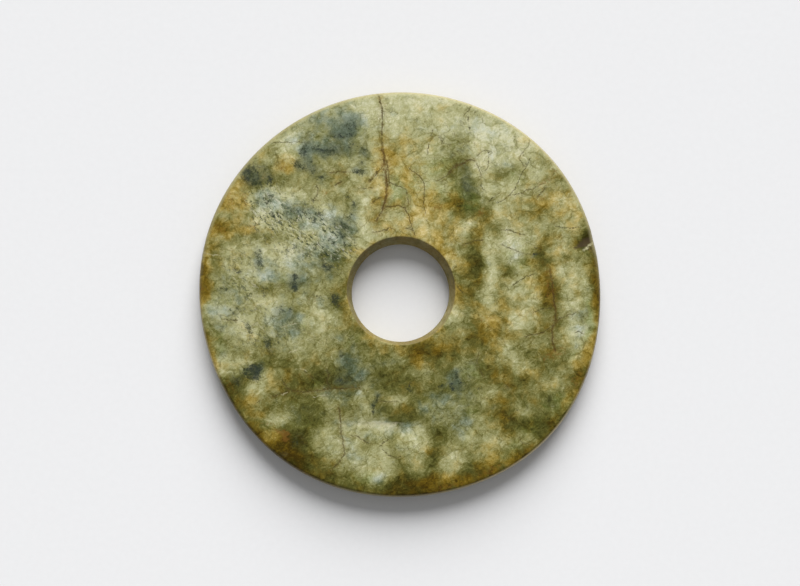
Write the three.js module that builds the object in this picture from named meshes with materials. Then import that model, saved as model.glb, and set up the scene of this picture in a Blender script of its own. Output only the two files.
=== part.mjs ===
// Jade bi: a flat ritual disc of nephrite with a round hole a little above its middle, one solid piece.
// Millimetres, +Z up. It lies on its flat underside, with the middle of its outline at the origin.
import * as THREE from "three";

// The disc
const rimRadius = 100;
const rimThickness = 11.6;
const holeThickness = 13; // the upper face falls gently from the hole to the rim
const rimBulge = 0.5; // how far the middle of the rim stands out past its two edges
const edgeRound = 1.9;

// The hole, drilled from both faces: two tapers that meet in a ridge
const mouthRadius = 26.4;
const ridgeRadius = 23.9;
const ridgeHeight = 6.2;
const mouthRound = 0.7;
const taperWaist = ridgeRadius + 0.9; // the tapers are a little hollow: they steer to this radius,
const taperBend = 3; // this far above and below the ridge
const mouthCentre = new THREE.Vector2(0.1, 2.1);
const ridgeCentre = new THREE.Vector2(-0.3, 0.9);
const underMouthCentre = new THREE.Vector2(0.2, 1.5);

// Steps of the faceted surface
const turnSteps = 180;
const faceSteps = 8;
const curveSteps = 2;

// The outline was ground true by hand, so a few long waves run round it.
const outlineWaves = [
  { crests: 2, height: 0.57, firstCrest: -72 },
  { crests: 3, height: 0.29, firstCrest: 60 },
  { crests: 4, height: 0.57, firstCrest: -38 },
  { crests: 5, height: 0.31, firstCrest: 28 },
];

// Shallow hollows that the cord saw and the grinding left in the upper face:
// middle, half sizes along and across, turn from +X in degrees, and depth.
const hollows = [
  { x: -6, y: -66, along: 26, across: 6, turn: -4, depth: 0.55 },
  { x: -52, y: 6, along: 22, across: 13, turn: -38, depth: 0.3 },
  { x: 44, y: 8, along: 30, across: 7, turn: 88, depth: 0.3 },
  { x: 76, y: -6, along: 26, across: 5, turn: 92, depth: 0.25 },
];

// Old chips on the upper edge of the rim: bearing in degrees, reach and depth.
const chips = [
  { bearing: 15.5, reach: 7, depth: 1.1 },
  { bearing: 168.5, reach: 4.5, depth: 0.6 },
];
const chipSlant = 0.3; // a chip bites this far inwards for each millimetre down

// The section on one side of the axis, as (radius, height): a closed loop, run so that its faces point out.
function section() {
  const outline = new THREE.Path();
  const quarter = Math.PI / 2;
  const faceInner = mouthRadius + mouthRound;
  const faceOuter = rimRadius - rimBulge - edgeRound;
  outline.moveTo(faceInner, 0);
  outline.lineTo(faceOuter, 0);
  outline.absarc(faceOuter, edgeRound, edgeRound, -quarter, 0, false);
  outline.lineTo(rimRadius, rimThickness / 2);
  outline.lineTo(rimRadius - rimBulge, rimThickness - edgeRound);
  outline.absarc(faceOuter, rimThickness - edgeRound, edgeRound, 0, quarter, false);
  for (let step = 1; step <= faceSteps; step++) {
    const share = step / faceSteps;
    outline.lineTo(
      THREE.MathUtils.lerp(faceOuter, faceInner, share),
      THREE.MathUtils.lerp(rimThickness, holeThickness, share),
    );
  }
  outline.quadraticCurveTo(mouthRadius, holeThickness, mouthRadius, holeThickness - mouthRound);
  outline.quadraticCurveTo(taperWaist, ridgeHeight + taperBend, ridgeRadius, ridgeHeight);
  outline.quadraticCurveTo(taperWaist, ridgeHeight - taperBend, mouthRadius, mouthRound);
  outline.quadraticCurveTo(mouthRadius, 0, faceInner, 0);
  return outline.getPoints(curveSteps);
}

// How far the outline stands out from its mean circle at a bearing in radians.
function outlineWave(bearing) {
  return outlineWaves.reduce((sum, { crests, height, firstCrest }) => {
    const first = THREE.MathUtils.degToRad(firstCrest);
    return sum + height * Math.cos(crests * (bearing - first));
  }, 0);
}

// Middle of the hole at a height: the two drillings lean a little, each its own way.
function holeCentre(height) {
  return height > ridgeHeight
    ? ridgeCentre.clone().lerp(mouthCentre, (height - ridgeHeight) / (holeThickness - ridgeHeight))
    : underMouthCentre.clone().lerp(ridgeCentre, height / ridgeHeight);
}

// How deep the hollows lie below the upper face at a place.
function hollowDepth(x, y) {
  return hollows.reduce((sum, hollow) => {
    const turn = THREE.MathUtils.degToRad(hollow.turn);
    const dx = x - hollow.x;
    const dy = y - hollow.y;
    const along = (dx * Math.cos(turn) + dy * Math.sin(turn)) / hollow.along;
    const across = (dy * Math.cos(turn) - dx * Math.sin(turn)) / hollow.across;
    return sum + hollow.depth * Math.exp(-along * along - across * across);
  }, 0);
}

// Cuts a point of the upper edge back where a chip is missing.
function cutChips(point) {
  for (const { bearing, reach, depth } of chips) {
    const turn = THREE.MathUtils.degToRad(bearing);
    const outward = new THREE.Vector3(Math.cos(turn), Math.sin(turn), 0);
    const middle = outward.clone().multiplyScalar(rimRadius).setZ(rimThickness);
    const nearness = 1 - point.distanceTo(middle) / reach;
    if (nearness <= 0) continue;
    const bite = depth * nearness * (2 - nearness);
    point.addScaledVector(outward, -bite * chipSlant);
    point.z -= bite;
  }
}

// Turns the true lathe form into the hand-worked one, vertex by vertex.
function workByHand(geometry) {
  const places = geometry.getAttribute("position");
  const point = new THREE.Vector3();
  for (let i = 0; i < places.count; i++) {
    point.fromBufferAttribute(places, i);
    const radius = Math.hypot(point.x, point.y);
    const bearing = Math.atan2(point.y, point.x);
    const outwards = THREE.MathUtils.clamp((radius - mouthRadius) / (rimRadius - mouthRadius), 0, 1);
    const onUpperFace = THREE.MathUtils.smoothstep(point.z, rimThickness - edgeRound, rimThickness);
    const waved = radius + outwards * outlineWave(bearing);
    const centre = holeCentre(point.z);
    point.x = waved * Math.cos(bearing) + (1 - outwards) * centre.x;
    point.y = waved * Math.sin(bearing) + (1 - outwards) * centre.y;
    point.z -= onUpperFace * hollowDepth(point.x, point.y);
    cutChips(point);
    places.setXYZ(i, point.x, point.y, point.z);
  }
}

// Puts the middle of the outline over the origin.
function centreOnOrigin(geometry) {
  geometry.computeBoundingBox();
  const middle = geometry.boundingBox.getCenter(new THREE.Vector3());
  geometry.translate(-middle.x, -middle.y, 0);
}

function jadeDisc() {
  const geometry = new THREE.LatheGeometry(section(), turnSteps);
  geometry.rotateX(Math.PI / 2);
  workByHand(geometry);
  centreOnOrigin(geometry);
  geometry.computeVertexNormals();
  const nephrite = new THREE.MeshStandardMaterial({ color: 0x8f8c55, roughness: 0.4, metalness: 0 });
  const disc = new THREE.Mesh(geometry, nephrite);
  disc.name = "disc";
  return disc;
}

const bi = new THREE.Group();
bi.add(jadeDisc());

export default bi;
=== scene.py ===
# A jade bi disc on a pale studio floor, looked at from straight above.
# Metres, +Z up. Places on the stone are given in millimetres from the middle of its outline.
from math import cos, pi, radians, sin

import bpy
import numpy as np
from mathutils import Euler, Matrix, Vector, noise


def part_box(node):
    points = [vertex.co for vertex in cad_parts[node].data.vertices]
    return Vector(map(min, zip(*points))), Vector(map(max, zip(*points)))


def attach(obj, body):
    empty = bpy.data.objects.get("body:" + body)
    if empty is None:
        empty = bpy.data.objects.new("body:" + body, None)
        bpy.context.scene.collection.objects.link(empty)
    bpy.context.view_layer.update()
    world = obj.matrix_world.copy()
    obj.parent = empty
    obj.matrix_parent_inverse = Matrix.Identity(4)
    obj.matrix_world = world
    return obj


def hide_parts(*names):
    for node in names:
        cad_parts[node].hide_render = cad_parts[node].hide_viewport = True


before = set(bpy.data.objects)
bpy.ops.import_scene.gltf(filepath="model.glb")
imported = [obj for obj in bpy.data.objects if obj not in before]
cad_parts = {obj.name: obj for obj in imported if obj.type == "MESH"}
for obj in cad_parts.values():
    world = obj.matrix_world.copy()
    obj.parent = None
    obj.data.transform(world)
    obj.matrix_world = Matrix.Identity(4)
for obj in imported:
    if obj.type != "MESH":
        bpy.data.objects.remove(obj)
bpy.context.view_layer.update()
MM = 0.001
CAD_LOW, CAD_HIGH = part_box("disc")

# ---------------------------------------------------------------- the form, in millimetres

RIM_RADIUS = 100.0
RIM_THICKNESS = 11.6
HOLE_THICKNESS = (CAD_HIGH.z - CAD_LOW.z) / MM
RIM_BULGE = 0.5
EDGE_ROUND = 1.9
MOUTH_RADIUS = 26.4
RIDGE_RADIUS = 23.9
RIDGE_HEIGHT = 6.2
MOUTH_ROUND = 0.7
TAPER_WAIST = RIDGE_RADIUS + 0.9
TAPER_BEND = 3.0
MOUTH_CENTRE = np.array([0.1, 2.1])
RIDGE_CENTRE = np.array([-0.3, 0.9])
UNDER_MOUTH_CENTRE = np.array([0.2, 1.5])
TURN_STEPS = 600

# Long waves of the outline: crests round the disc, height, bearing of the first crest in degrees.
OUTLINE_WAVES = [(2, 0.57, -72), (3, 0.29, 60), (4, 0.57, -38), (5, 0.31, 28)]

# Hollows in the upper face: x, y, half size along and across, turn in degrees, depth.
HOLLOWS = [
    (-6, -66, 26, 6, -4, 0.55), (-52, 6, 22, 13, -38, 0.3), (44, 8, 30, 7, 88, 0.3),
    (76, -6, 26, 5, 92, 0.25),
]

# Chips on the upper edge: bearing in degrees, reach, depth.
CHIPS = [(15.5, 7, 1.1), (168.5, 4.5, 0.6)]
CHIP_SLANT = 0.3

# The gouge near the right rim: x, y, half size along and across, and its turn in degrees.
GOUGE = (90.5, 25.3, 6.4, 2.6, 31)
GOUGE_DEPTH = 0.45
SAW_STEP_Y = -62.4  # where a second saw cut started a little deeper
SAW_STEP_DEPTH = 0.22

# ---------------------------------------------------------------- the colour of the stone
# Patches are (x, y, half length, half width, turn in degrees, amount). Here the amount is how much
# lighter the stone is, or darker where it is negative.

TONE_PATCHES = [
    # the pale crescent along the top
    (5, 97, 42, 17, 0, 0.14), (50, 78, 24, 15, -38, 0.15), (-56, 78, 8, 6, 70, 0.12),
    # pale fields on the left
    (-18, 36, 14, 6, 90, 0.12), (-66, 38, 6, 5, 0, 0.08), (-56, 48, 12, 5, 10, 0.09),
    (-34, 41, 5, 4, -30, 0.1), (-45, 34, 14, 5, 0, 0.09), (-57, 21, 11, 7, -10, 0.13),
    (-76, 18, 8, 5, 0, 0.05), (-70, 10, 9, 3, 0, 0.08), (-90, -7, 6, 3, 0, 0.07), (-63, -7, 6, 6, 0, 0.12),
    (-78, -17, 6, 5, 90, 0.08), (-40, -13, 8, 5, 20, 0.11), (-50, -23, 14, 7, 0, 0.05),
    # pale places round the hole and on the right
    (11, 34, 10, 7, 90, 0.08), (-2, 36, 8, 4, 0, 0.05), (16, 55, 7, 6, 0, 0.08), (9, 72, 8, 5, 90, 0.06),
    (31, 32, 6, 3.5, 15, 0.12), (43, 10, 17, 3.5, 96, 0.16), (46, 24, 4, 4, 0, 0.08),
    (56, 26, 7, 6, 0, 0.16), (52, 50, 8, 7, 0, 0.09), (50, 39, 6, 5, 0, 0.06), (67, 60, 8, 4, 90, 0.06),
    (82, 44, 10, 6, 100, 0.06), (60, -10, 7, 5, 80, 0.12), (60, 0, 12, 6, 90, 0.08),
    (27, -8, 7, 4, 80, 0.11), (84, -5, 18, 6, 92, 0.1), (86, -19, 7, 5, 0, 0.06),
    (54, -29, 10, 4, -40, 0.16), (62, -36, 5, 4, 0, 0.1),
    # the dark lower half and the pale islands in it
    (0, -66, 105, 38, 0, -0.17), (-22, -70, 19, 8, 0, 0.22), (-13, -84, 12, 7, 90, 0.2),
    (-10, -65.5, 9, 3, 0, 0.14), (7, -69, 8, 5, 0, 0.24), (8, -79, 9, 5, 80, 0.14),
    (35, -68, 9, 5, 20, 0.18), (25, -83, 7, 5, 60, 0.18), (48, -72, 8, 3, 0, 0.12),
    (-71, -47, 4, 4, 0, 0.16), (-64, -40, 6, 3, 30, 0.12), (-61, -62, 6, 3.5, 10, 0.14),
    (-34, -54, 5, 3, 0, 0.1), (-18, -50, 4, 4, 0, 0.12), (-4, -52, 7, 2.5, 0, 0.14),
    (10, -39, 5, 5, 0, 0.08), (45, -49, 5, 3, 30, 0.12), (75, -42, 6, 3, 0, 0.1), (25, -56, 14, 6, 0, 0.07),
    # dark clouds above the middle
    (-70, 57, 9, 6, -25, -0.16), (-38, 74, 15, 6, 5, -0.1), (-46, 63, 7, 4, -20, -0.07),
    (-88, 34, 5, 4, 0, -0.08), (-97, 5, 12, 3, 90, -0.12), (-92, -25, 9, 4, 0, -0.05),
    (28, 63, 7, 5, 90, -0.1), (33, 52, 7, 6, 90, -0.16), (28, 44, 8, 6, 0, -0.17),
    (41, 41, 8, 4, 110, -0.16), (-8, 45, 5, 4, 0, -0.06), (67, 41, 5, 4, 0, -0.07),
    (92, 27, 7, 5, 30, -0.17), (-27, 33, 4, 3.5, 0, -0.05),
    # dark bands that run down the right side
    (34, 12, 22, 4.5, 90, -0.12), (36, -18, 8, 6, 0, -0.12), (50, -17, 8, 3, 0, -0.08),
    (73, 18, 6, 5, 0, -0.14), (73, -1, 17, 4.5, 92, -0.15), (97, 10, 14, 3, 95, -0.08),
    (53, 11, 5, 3, 0, -0.07), (75, -32, 6, 4, 0, -0.06),
    # dark smudges on the left
    (-33, 15, 6, 5, 40, -0.1), (-51, 6, 7, 3.5, 20, -0.09), (-67, 2, 7, 3, 0, -0.05),
    (-33, 2, 6, 4, 0, -0.07), (-28, -2, 5, 3, 80, -0.12), (-54, -9, 5, 3, 90, -0.06),
    (-72, -36, 9, 5, 25, -0.1), (-65, -25, 6, 3, 100, -0.08), (-85, -46, 8, 4, 115, -0.1),
]

# The smaller clouds, light and dark, by their amount. Most aren't turned, and give no turn.
SMALL_TONE_PATCHES = {
    0.14: [(-86, -33, 7, 6)],
    0.13: [(-52, 75, 6, 5), (-17, -88, 14, 7, -10), (61, -58, 4, 4)],
    0.12: [(-63, -66, 8, 6), (65, -74, 6, 3.5), (-91, -39, 3, 7, -20)],
    0.1: [
        (-12, -64, 11, 2.2, -8), (50, -75, 10, 5), (33, 36, 7, 4, 35), (45, -66, 8, 4, -30),
        (-38, -72, 3, 7), (-62, -73, 4, 3),
    ],
    0.09: [
        (-16, 88, 8, 8), (40, 68, 5, 9), (-74, -54, 4.5, 8, -10), (93, -18, 5, 9), (-60, 50, 9, 3),
        (-48, 67, 5, 4), (-62, -43, 6, 4), (-7, 54, 4, 5), (40, 51, 9, 4), (0, -30, 5, 3, 20),
        (62, -38, 5, 3, 30), (60, -57, 4, 4), (15, -58, 6, 4), (-2, -51, 7, 3), (13, -73, 2.6, 6),
        (7, -79, 5, 5), (-6, -94, 3, 5), (-89, -43, 3, 5, -25), (25, 38, 4, 4), (29, 17, 2.5, 4),
    ],
    0.08: [
        (-33, 29, 4, 3), (-25, -84, 4, 3), (42, -75, 6, 4), (90, -22, 6, 4), (78, 11, 4, 3), (78, 24, 4, 4),
        (30, -20, 3, 3), (-18, -56, 3, 3), (90, -32, 4, 6, -20), (-63, -72, 4, 3, 30), (24, -93, 7, 3, 20),
        (73, -57, 3, 10, 35), (-91, -42, 3, 5, -25), (-73, 46, 3, 3),
    ],
    0.07: [
        (-56, -5, 4, 3), (46, 39, 4, 3), (25, 52, 7, 4), (-62, 41, 6, 5), (-80, 20, 7, 4), (-55, 23, 3, 3),
        (-68, -21, 3, 3), (-61, -24, 3, 3), (-76, -33, 4, 2.5), (70, 15, 3, 4), (80, -56, 4, 6, -30),
        (8, -87, 3, 3), (92, -37, 3, 8, -25), (52, 65, 5, 4), (50, -24, 3, 3), (-17, -57, 4, 3),
        (-4, -79, 3, 4), (-97, -7, 2.6, 6), (-43, -73, 3, 5), (-68, 37, 3, 3),
    ],
    0.06: [
        (-70, 66, 6, 4, 50), (-38, 47, 5, 5), (-46, 38, 4, 4), (-75, -11, 9, 7), (-87, -9, 4, 4),
        (-28, -58, 11, 5), (-5, -81, 3, 6), (88, -33, 4, 3), (94, 10, 3, 5), (-35, -33, 4, 4),
        (2, 92, 3, 5), (24, 82, 4, 4), (-38, 75, 5, 2.5), (-23, 63, 3, 2.5), (57, 23, 4, 4), (67, 33, 5, 4),
        (15, 27, 4, 3, -30), (46, 11, 3, 5), (57, -16, 5, 3), (43, -18, 4, 3), (15, -34, 4, 3),
        (5, -65, 5, 2), (28, -77, 6, 4), (22, -94, 5, 3), (-32, -80, 5, 3), (-56, -64, 4, 3),
        (-70, -60, 8, 4), (96, -10, 3, 9), (92, 2, 4, 3), (-48, -68, 6, 2.5), (-60, -57, 4, 3),
        (-76, -34, 4, 4), (-2, -49, 5, 3), (31, -82, 3, 4, -30), (53, -52, 3, 3), (35, -30, 4, 3, 30),
        (31, -20, 4, 3), (71, 15, 4, 6, 20), (53, 14, 2.6, 3), (35, 35, 3, 6, -30), (68, 5, 3, 5),
        (12, -32, 4, 3), (-3, -56, 4, 3), (89, 30, 3, 4), (-95, 18, 3, 3), (-5, 47, 5, 6), (-9, 35, 3, 3),
        (-21, 34, 5, 2.6, -50), (-28, 67, 4, 2.6), (-77, -35, 4, 4, 40), (54, 0, 3, 4), (48, -81, 3, 4),
        (-8, 60, 3, 5, -30), (23, 76, 4, 3), (-77, 0, 3, 3),
    ],
    0.05: [
        (-83, 55, 5, 6), (-37, -15, 4, 4), (-33, -75, 4, 5), (37, -14, 8, 3), (61, 36, 4, 4),
        (40, 50, 4, 4), (24, -82, 8, 7), (10, -75, 4, 3), (-42, 11, 3, 6, -40), (0, 78, 3, 4),
        (-70, 63, 3, 3), (-41, -76, 3, 4), (-60, -45, 3, 7), (-20, -45, 6, 3, -30), (-8, -33, 4, 3),
        (27, -60, 4, 3), (33, -11, 3, 5), (44, -15, 6, 2.6, -20), (43, 63, 6, 2.4), (60, 22, 4, 3),
        (36, 33, 4, 5, 30), (25, 42, 4, 4, 45), (48, 11, 3, 3), (33, -39, 3, 5, 20), (-31, -80, 4, 3),
        (-52, -36, 3, 5, 20), (-68, 12, 3, 4), (-61, -10, 3, 5), (-57, 2, 5, 3),
    ],
    0.04: [(-18, -57, 4, 3), (-28, -48, 8, 3), (-27, -66, 3, 4)],
    -0.03: [(50, 27, 3, 5), (76, -18, 3, 4), (45, 80, 7, 5)],
    -0.04: [(35, 65, 6, 3, 45), (-93, -22, 5, 5), (90, -5, 7, 4), (58, -5, 3, 7)],
    -0.05: [
        (-92, 17, 6, 5), (15, -68, 4, 4), (75, -2, 5, 4), (-90, 15, 3, 6), (-53, 37, 3, 5), (72, -18, 4, 3),
        (51, -6, 3, 7), (8, -62, 6, 3), (20, -67, 3, 3), (-45, -18, 4, 3), (91, 25.5, 5, 2.4, 31),
        (-16, -66, 3, 3), (-38, 86, 2.5, 5), (-15, -25, 4, 3), (-40, -57, 3, 2.5), (-44, -13, 2.5, 4),
        (-90, -11, 3, 3), (40, -73, 3, 3), (-46, 22, 5, 3, -20), (-65, 26, 5, 3), (20, -82, 3, 2.5),
        (-70, 52, 3, 3), (-57, 79, 10, 3, 35), (-18, 63, 3, 8), (22, 27, 2.6, 8), (57, 9, 9, 3),
        (86, -27, 3, 6), (80, -40, 3, 5), (11, 83, 6, 5), (53, 44, 4, 5), (-85, 3, 4, 3), (-65, 15, 6, 4),
        (-70, -10, 9, 3), (-83, -22, 5, 4), (-45, -17, 8, 2), (10, -35, 5, 2.5), (52, -73, 4, 2.5),
        (-17, -87, 6, 3), (15, 49, 4, 4), (15, -92, 4, 3), (52, -75, 4, 5), (36, 53, 3.5, 3), (47, 0, 3, 5),
        (-57, -44, 4, 3), (-85, -33, 6, 2), (-84, 23, 5, 4), (-69, 3, 3, 4), (-22, 40, 3, 3),
        (-22, 30, 2.6, 4), (86, 12, 3, 4), (62, -25, 4, 3),
    ],
    -0.06: [
        (-25, 70, 6, 3), (-57, 54, 5, 4), (-55, -15, 5, 5), (-28, -40, 8, 5), (17, -81, 3, 7),
        (50, -20, 6, 4), (59, -4, 4, 4), (66, 18, 5, 5), (67, 66, 6, 4), (83, 53, 5, 6), (70, -68, 4, 3),
        (-87, 31, 5, 2), (26, 73, 5, 3), (15, 48, 3, 3), (47, -3, 3, 5, -25), (70, -7, 5, 4),
        (-52, 37, 3, 3), (-26, 95, 5, 4), (-4, 62, 3, 3), (-1, 36, 3, 4), (39, 25, 4, 5), (60, -45, 7, 4),
        (42, 72, 4, 3), (25, 72, 3, 3), (82, 58, 6, 3, -50), (-57, -5, 6, 6), (8, -73, 3, 3),
        (22, -84, 6, 6), (0, -67, 6, 3.5), (32, 62, 4, 4), (-78, -46, 7, 3), (-60, -37, 3, 3),
        (94, -15, 4, 7), (4, -87, 4, 4), (66, 37, 4, 3), (24, 54, 4, 3), (-69, 68, 5, 3, 45),
    ],
    -0.07: [
        (48, 29, 7, 4), (-28, 92, 5, 5), (-58, 80, 5, 4), (82, 17, 3, 3), (-66, 0, 7, 3), (-76, -10, 3, 3),
        (-42, 43, 4, 3), (-68, 43, 5, 2.5), (-75, 67, 6, 4, 45), (-40, 61, 3, 3), (-29, 33, 5, 3, -20),
        (28, 38, 3, 4, -30), (76, 30, 3, 3), (54, 81, 6, 3, -35), (-92, 10, 4, 7, -20), (-27, 5, 3, 3),
        (0, -63, 3, 2), (43, -70, 4, 3), (-42, -66, 4, 4), (13, -71, 4, 5), (-14, -66.5, 8, 2.5),
        (66, -37, 4, 4), (46, -28, 4, 4), (76, -52, 4, 4), (62, 24, 3, 7), (60, 63, 3, 4), (-8, -49, 5, 4),
    ],
    -0.08: [
        (-16, -73, 5, 5), (37, -88, 7, 4), (30, 40, 4, 4), (-13, 39, 3, 3), (-88, 33, 4.5, 4),
        (-79, 27, 4, 4), (-32, 18, 6, 4), (-30, -5, 4, 3), (31, 76, 3, 4), (75, 56, 5, 3, 35),
        (72, 24, 3.5, 6), (37, 17, 4.5, 5), (37, -25, 5, 3), (44, -37, 5, 3.5), (0, -41, 8, 3),
        (-55, -34, 5, 3), (-2, -72, 3, 3), (32, 32, 6, 4), (8, 32, 3, 5), (29, 10, 3, 4), (-28, 55, 4, 3),
        (-12, 86, 2.6, 6), (43, 74, 3, 4), (67, 47, 5, 3, 30), (95, 27, 4, 4), (78, 0, 3, 3),
        (55, -8, 3, 3), (70, -39, 3, 3), (14, -24, 5, 3, 10), (-47, -33, 2.6, 4), (-52, -48, 5, 3),
        (-80, -47, 3, 5), (33, -90, 4, 3), (12, -93, 3, 4), (-86, 50, 4, 5), (47, 14, 2.6, 6),
        (93, -12, 4, 4, -40), (97, 5, 2, 4), (78, 0, 3, 4), (51, 63, 3.5, 7), (-7, -96, 5, 3),
        (60, -28, 5, 3, -30), (93, -23, 3, 4),
    ],
    -0.09: [
        (-64, 27, 7, 3), (-22, -16, 5, 8), (54, 60, 6, 5), (37, 90, 8, 3), (-24, 80, 6, 6),
        (-24, 38, 3.5, 8, 10), (58, -36, 4, 3),
    ],
    -0.1: [
        (90, -40, 6, 6), (95, 24, 5, 6), (98, 4, 3, 12), (78, -11, 3, 5), (10, -26, 6, 3), (-13, 39, 4, 4),
        (-22, -93, 5, 4),
    ],
    -0.11: [
        (62, -62, 14, 4), (55, 11, 4, 3), (40, 37, 3, 4), (49, 30, 3, 4), (-33, 46, 4, 4),
        (-74, 39, 3.5, 4), (53, 60, 5, 4), (-55, 81, 5, 3, 35),
    ],
    -0.12: [(-47, -42, 14, 4), (8, -95, 14, 4), (8, -98, 13, 2.5), (38, 14, 4, 10)],
    -0.13: [(15, -29, 16, 5)],
    -0.14: [(-52, -77, 9, 6)],
    -0.15: [(-13, -78, 5, 8)],
    -0.17: [(-52, -77, 12, 9)],
}

# Warmth runs from -1, blue-grey, over 0, sage, to 1, ochre.
WARMTH_PATCHES = [
    (-8, 68, 9, 7, 90, 0.5), (-10, 50, 6, 6, 0, 0.35), (0, 58, 10, 8, 90, 0.2), (15, 45, 11, 8, -50, 0.45),
    (8, 50, 22, 12, -30, 0.25), (-85, 45, 9, 8, 60, 0.6), (-85, 33, 10, 5, 0, 0.35),
    (-57, 65, 5, 5, 0, 0.4), (-97, 5, 10, 3, 90, 0.5), (20, 22, 16, 4, -45, 0.3), (72, 46, 10, 5, 5, 0.35),
    (84, 42, 8, 4, 90, 0.3), (70, 0, 62, 30, 90, 0.12), (71, 6, 8, 5, 90, 0.35), (44, -14, 10, 8, 90, 0.5),
    (33, -20, 20, 10, 0, 0.2), (97, -10, 25, 3, 90, 0.35), (92, -30, 6, 4, 60, 0.6),
    (85, -50, 9, 4, 50, 0.5), (20, -23, 5, 4, 0, 0.3), (50, -82, 12, 7, 20, 0.6), (25, -94, 15, 4, 5, 0.6),
    (55, -40, 8, 4, 0, 0.3), (-73, -55, 6, 5, 90, 0.35), (-60, -42, 14, 4, 20, 0.2),
    (-65, -70, 9, 5, -50, 0.3), (-38, -30, 5, 3, 0, 0.2), (9, -33, 4, 4, 0, 0.25),
    (-38, 78, 19, 9, 10, -0.5), (-25, 80, 7, 6, 90, -0.4), (-46, 72, 5, 4, 0, -0.4),
    (-75, 61, 5, 4, 0, -0.6), (-20, 61, 4, 4, 0, -0.4), (-55, 43, 20, 7, -12, -0.5),
    (-35, 33, 14, 10, 10, -0.5), (-42, 18, 12, 12, 0, -0.45), (-67, 14, 8, 4, -60, -0.5),
    (-86, -5, 13, 8, 90, -0.35), (-55, -13, 11, 7, -50, -0.45), (-72, -38, 6, 4, 0, -0.5),
    (-24, -37, 10, 7, 0, -0.45), (-25, -66, 34, 20, 0, -0.2), (27, -44, 6, 5, 0, -0.5),
    (17, -55, 6, 5, 90, -0.4), (28, -55, 14, 13, 0, -0.2), (-52, -62, 5, 4, 90, -0.3),
    (0, -65, 12, 3, -15, -0.3), (-13, -91, 4, 3, 0, -0.3), (42, 80, 11, 6, -30, -0.35),
    (20, 90, 46, 12, 0, -0.15), (45, 52, 8, 6, 0, -0.25), (33, 57, 4, 4, 0, -0.25),
    (56, 22, 6, 5, 90, -0.3), (45, 20, 5, 4, 90, -0.25), (85, -12, 7, 5, 90, -0.35),
    (60, -55, 6, 4, 110, -0.25), (-35, -4, 6, 4, 0, -0.3), (10, -95, 12, 4, 0, 0.3),
    (30, 47, 8, 5, 0, 0.35), (-77, 47, 4, 7, 0, 0.3), (-53, 62, 4, 4, 0, 0.2), (-75, 30, 6, 3, 0, 0.2),
    (-45, 31, 4, 6, 0, 0.35), (-20, 69, 8, 3, 0, -0.5), (-30, 93, 8, 4, 0, -0.35), (-23, 35, 3, 8, 0, -0.4),
    (-87, 40, 4, 3, 0, -0.5), (-58, 10, 5, 3, 0, -0.4), (-46, 5, 3, 5, 0, -0.4), (-51, 18, 8, 5, 0, -0.15),
    (-86, -17, 5, 3, 0, -0.35), (-87, -27, 4, 3, 0, -0.4), (-61, -12, 6, 5, 0, -0.3),
    (-53, -18, 4, 3, 0, -0.25), (90, -18, 4, 8, 0, -0.45), (14, 53, 5, 6, 0, -0.3), (57, 22, 5, 6, 0, -0.2),
    (52, 70, 6, 8, 0, -0.3), (29, 72, 6, 5, 0, -0.25), (-22, -30, 4, 5, 0, -0.35),
    (-30, -49, 8, 2.5, 0, -0.25), (32, -65, 3, 6, 0, -0.3), (-25, -73, 4, 8, 0, -0.25),
    (5, -28, 8, 3, 0, 0.3), (20, -27, 6, 4, 0, 0.3), (50, -60, 9, 5, 0, 0.2), (-50, -42, 6, 4, 0, 0.2),
]

# Its smaller clouds, by their amount.
SMALL_WARMTH_PATCHES = {
    0.5: [(-94, -34, 4, 10, -25)],
    0.4: [(34, 0, 4, 6), (-60, -72, 10, 5, -35)],
    0.35: [(-96, 6, 4, 14)],
    0.3: [(-13, 38, 5, 4), (95, -25, 5, 3, 20), (97, 2, 3, 8), (-89, -43, 2, 5, -25)],
    0.25: [(-48, -78, 8, 5), (-70, 34, 5, 5), (-55, 64, 5, 6)],
    0.2: [
        (0, 35, 12, 5), (20, 28, 6, 6), (-93, 22, 8, 8), (-84, 29, 8, 3), (70, 0, 8, 5, 20), (5, 72, 6, 8),
        (-73, 57, 8, 6, 40), (2, -55, 6, 8), (50, -48, 5, 9, 20), (15, -76, 5, 9), (11, -32, 7, 4, 10),
        (78, 25, 4, 5), (42, 38, 5, 5), (52, -76, 4, 3, 20), (-13, 71, 4, 3),
    ],
    0.15: [(38, 31, 14, 8, 20), (20, 93, 9, 5), (48, -66, 8, 6, 30), (34, -45, 4, 3)],
    -0.15: [(-10, 60, 12, 4, -30), (32, 68, 6, 14), (60, 62, 10, 8, 50), (60, -28, 10, 5, -20)],
    -0.2: [
        (-55, 38, 8, 5), (-48, 3, 6, 8), (-22, -48, 12, 5), (40, -15, 6, 7), (32, -58, 8, 14, -20),
        (-26, -84, 5, 10), (-5, -68, 12, 4, 20), (82, -13, 4, 6), (57, 15, 8, 5), (45, 39, 4, 3),
        (-28, -9, 4, 3), (-82, 56, 3, 3),
    ],
    -0.25: [
        (-37, 57, 4, 4), (20, 46, 5, 4), (-64, 46, 8, 4), (-67, 10, 6, 6), (-57, 8, 5, 3), (-79, 1, 5, 5),
        (-59, -22, 5, 6), (-36, -49, 5, 3), (90, -30, 5, 8, -20), (-88, -27, 5, 3), (-78, -51, 4, 3),
        (-64, -67, 5, 3, -20),
    ],
    -0.3: [
        (-22, 84, 6, 4, -30), (-40, 70, 8, 4), (0, 50, 4, 5), (-31, 23, 5, 6), (-91, -7, 5, 5),
        (-50, -12, 4, 4), (-26, -22, 7, 4), (-19, -37, 5, 8, 30), (-68, -65, 5, 3, -30), (36, -39, 4, 5),
    ],
    -0.35: [(-38, 88, 8, 4, 25), (35, 45, 4, 5), (43, -1, 4, 4), (94, -8, 3, 14)],
    -0.45: [(24, -17, 9, 4, 50), (55, -78, 9, 4, 35), (80, -54, 9, 4, 40)],
    -0.5: [(-12, -93, 5, 4)],
}

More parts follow.
